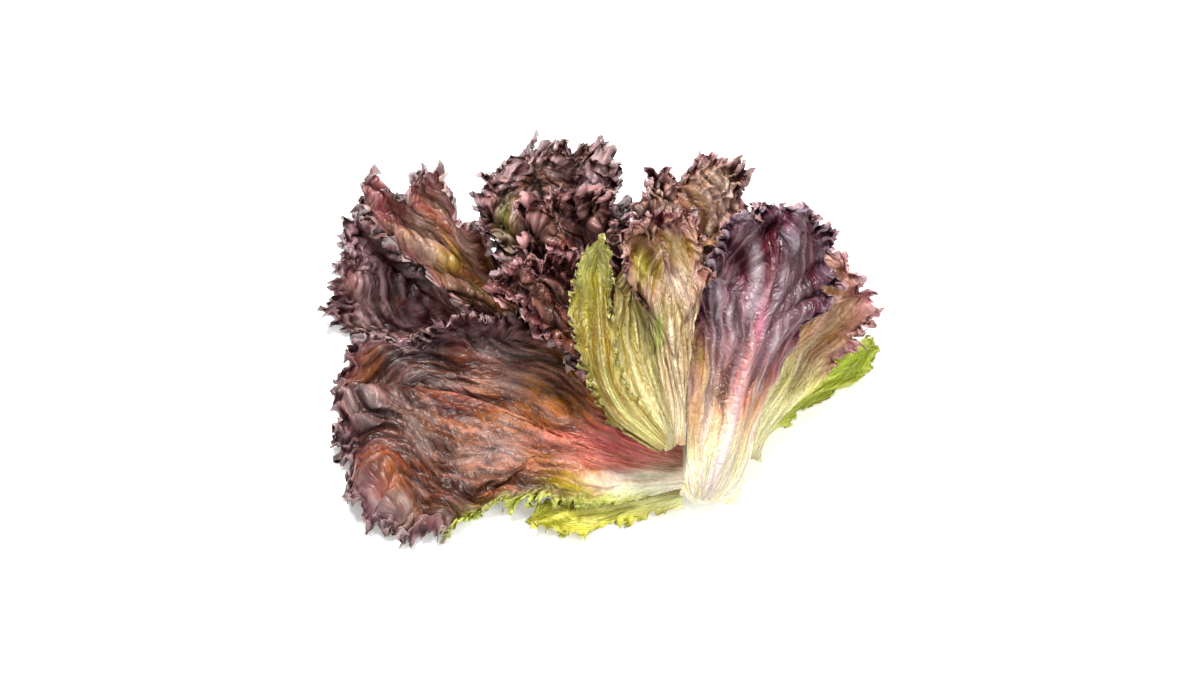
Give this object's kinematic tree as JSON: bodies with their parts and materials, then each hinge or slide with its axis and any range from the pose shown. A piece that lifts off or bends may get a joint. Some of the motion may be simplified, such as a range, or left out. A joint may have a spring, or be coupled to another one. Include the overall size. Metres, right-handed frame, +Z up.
{
  "type": "lollo rosso lettuce",
  "caption": "A cut head of curly red leaf lettuce lying on its side, its frilled purple and green leaves fanned out from a pale stem.",
  "frame": {"origin": "middle of the bounding box in X and Y, on the surface that the head lies on, z = 0", "axes": "+X runs across the fan of leaves to the right as seen from the cut stem, +Y from the cut stem to the leaf tips, +Z up"},
  "size_m": [0.2699, 0.1771, 0.1113],
  "materials": {
    "stem": "smooth moist stem flesh, cream white",
    "leaf_left_lowest": "satin leaf surface with raised veins",
    "leaf_right_green": "satin leaf surface with raised veins",
    "leaf_back_dark": "satin leaf surface with raised veins",
    "leaf_back_rolled": "satin leaf surface with raised veins",
    "leaf_left_large": "satin leaf surface with raised veins",
    "leaf_right_spread": "satin leaf surface with raised veins",
    "leaf_top_back": "satin leaf surface with raised veins",
    "leaf_right_large": "satin leaf surface with raised veins",
    "leaf_heart_back": "satin leaf surface with raised veins",
    "leaf_heart_front": "satin leaf surface with raised veins",
    "leaf_centre_cupped": "satin leaf surface with raised veins",
    "leaf_centre_green": "satin leaf surface with raised veins",
    "leaf_centre_top": "satin leaf surface with raised veins",
    "leaf_centre_fan": "satin leaf surface with raised veins"
  },
  "bodies": {
    "root": {"stem": "stem", "leaf_left_lowest": "leaf_left_lowest", "leaf_right_green": "leaf_right_green", "leaf_back_dark": "leaf_back_dark", "leaf_back_rolled": "leaf_back_rolled", "leaf_left_large": "leaf_left_large", "leaf_right_spread": "leaf_right_spread", "leaf_top_back": "leaf_top_back", "leaf_right_large": "leaf_right_large", "leaf_heart_back": "leaf_heart_back", "leaf_heart_front": "leaf_heart_front", "leaf_centre_cupped": "leaf_centre_cupped", "leaf_centre_green": "leaf_centre_green", "leaf_centre_top": "leaf_centre_top", "leaf_centre_fan": "leaf_centre_fan"}
  },
  "joints": []
}
